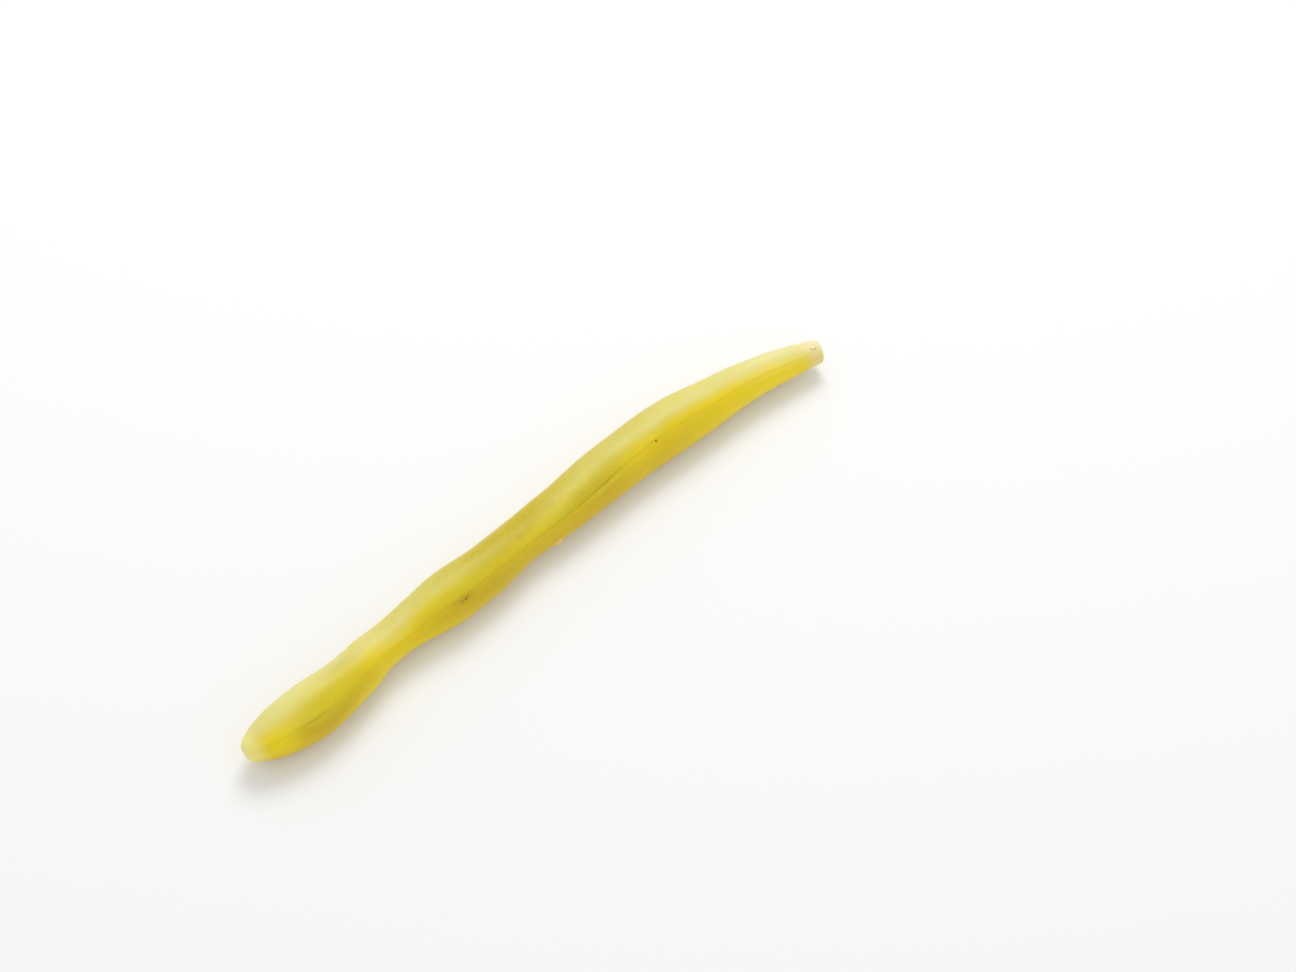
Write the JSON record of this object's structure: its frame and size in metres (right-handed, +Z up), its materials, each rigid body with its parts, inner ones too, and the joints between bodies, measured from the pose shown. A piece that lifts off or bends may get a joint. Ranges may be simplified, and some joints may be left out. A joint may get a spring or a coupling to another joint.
{
  "type": "wax bean",
  "caption": "Yellow wax bean pod, trimmed at both ends, slightly bent and swollen over its seeds, lying on its side.",
  "frame": {"origin": "on the surface that the pod lies on, below the middle of its bounding box", "axes": "+X along the pod towards the stem cut, +Y across it away from the visible suture, +Z up"},
  "size_m": [0.1158, 0.0146, 0.0086],
  "materials": {
    "waxy_skin": "smooth satin waxy vegetable skin, warm yellow with a greener middle and pale trimmed ends"
  },
  "bodies": {
    "root": {"pod": "waxy_skin"}
  },
  "joints": []
}
